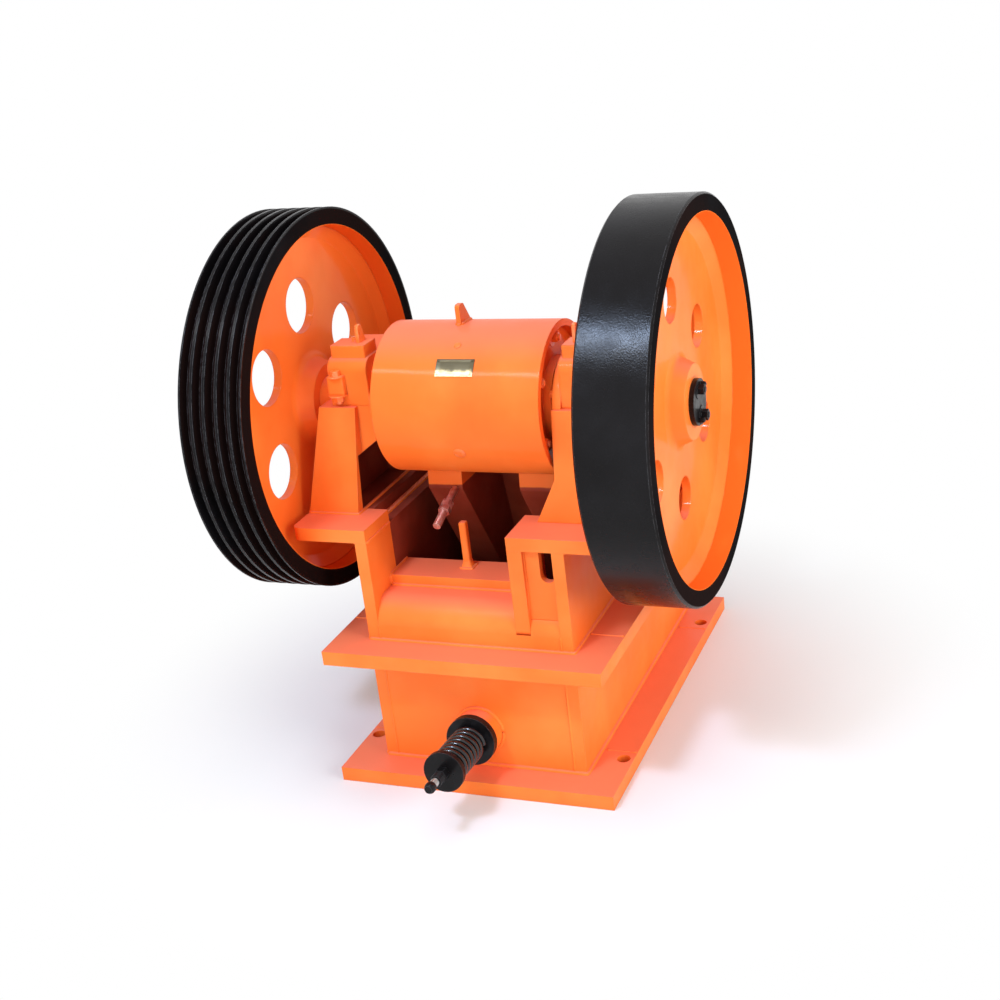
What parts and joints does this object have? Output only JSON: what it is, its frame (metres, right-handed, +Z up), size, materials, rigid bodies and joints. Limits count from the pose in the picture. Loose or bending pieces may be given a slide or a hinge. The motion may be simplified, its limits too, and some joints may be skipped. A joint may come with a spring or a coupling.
{
  "type": "jaw crusher",
  "caption": "Small single-toggle jaw crusher: welded frame on a base plate, swing jaw on an eccentric shaft, belt sheave and flywheel, sprung tension rod.",
  "frame": {"origin": "centre of the base plate's bolt holes, on its underside", "axes": "+X along the shaft from the grooved sheave to the flywheel, +Y towards the feed end, +Z up"},
  "size_m": [0.729, 0.861, 0.898],
  "materials": {
    "orange_paint": "gloss orange enamel",
    "black_paint": "semi-gloss black enamel",
    "dark_primer": "matt red-brown primer",
    "manganese_steel": "as-cast manganese steel",
    "bright_steel": "machined steel",
    "spring_steel": "black spring steel"
  },
  "bodies": {
    "frame": {"base_plate": "orange_paint", "left_side_wall": "orange_paint", "right_side_wall": "orange_paint", "rear_wall": "orange_paint", "ledge_plate": "orange_paint", "frame_lifting_lug": "orange_paint", "inner_gusset": "orange_paint", "left_seat_plate": "orange_paint", "right_seat_plate": "orange_paint", "rear_flange": "orange_paint", "left_flange": "orange_paint", "right_flange": "orange_paint", "feed_flange": "orange_paint", "left_pedestal": "orange_paint", "right_pedestal": "orange_paint", "left_bearing_cap": "orange_paint", "right_bearing_cap": "orange_paint", "left_end_cover": "orange_paint", "right_end_cover": "orange_paint", "feed_wall": "orange_paint", "fixed_jaw_plate": "manganese_steel", "left_side_liner": "manganese_steel", "right_side_liner": "manganese_steel", "toggle_beam": "dark_primer", "toggle_plate": "dark_primer", "rod_boss": "orange_paint", "spring_seat": "black_paint", "tension_spring": "spring_steel", "spring_end_disc": "black_paint", "tension_rod": "bright_steel", "rod_nut": "black_paint"},
    "rotor": {"eccentric_shaft": "bright_steel", "sheave_rim": "black_paint", "sheave_web": "orange_paint", "flywheel_rim": "black_paint", "flywheel_web": "orange_paint", "sheave_lock_plate": "black_paint", "flywheel_lock_plate": "black_paint"},
    "swing_jaw": {"jaw_drum": "orange_paint", "jaw_body": "dark_primer", "movable_jaw_plate": "manganese_steel", "drum_lifting_eye": "orange_paint", "jaw_bolt": "bright_steel"}
  },
  "joints": [
    {"name": "rotor_spin", "type": "hinge", "parent": "frame", "child": "rotor", "pos_m": [0, -0.127, 0.588], "axis": [1, 0, 0], "continuous": true},
    {"name": "jaw_orbit", "type": "hinge", "parent": "rotor", "child": "swing_jaw", "pos_m": [0, -0.127, 0.594], "axis": [1, 0, 0], "continuous": true}
  ],
  "couplings": [
    {"joint": "jaw_orbit", "follows": "rotor_spin", "ratio": -1}
  ]
}
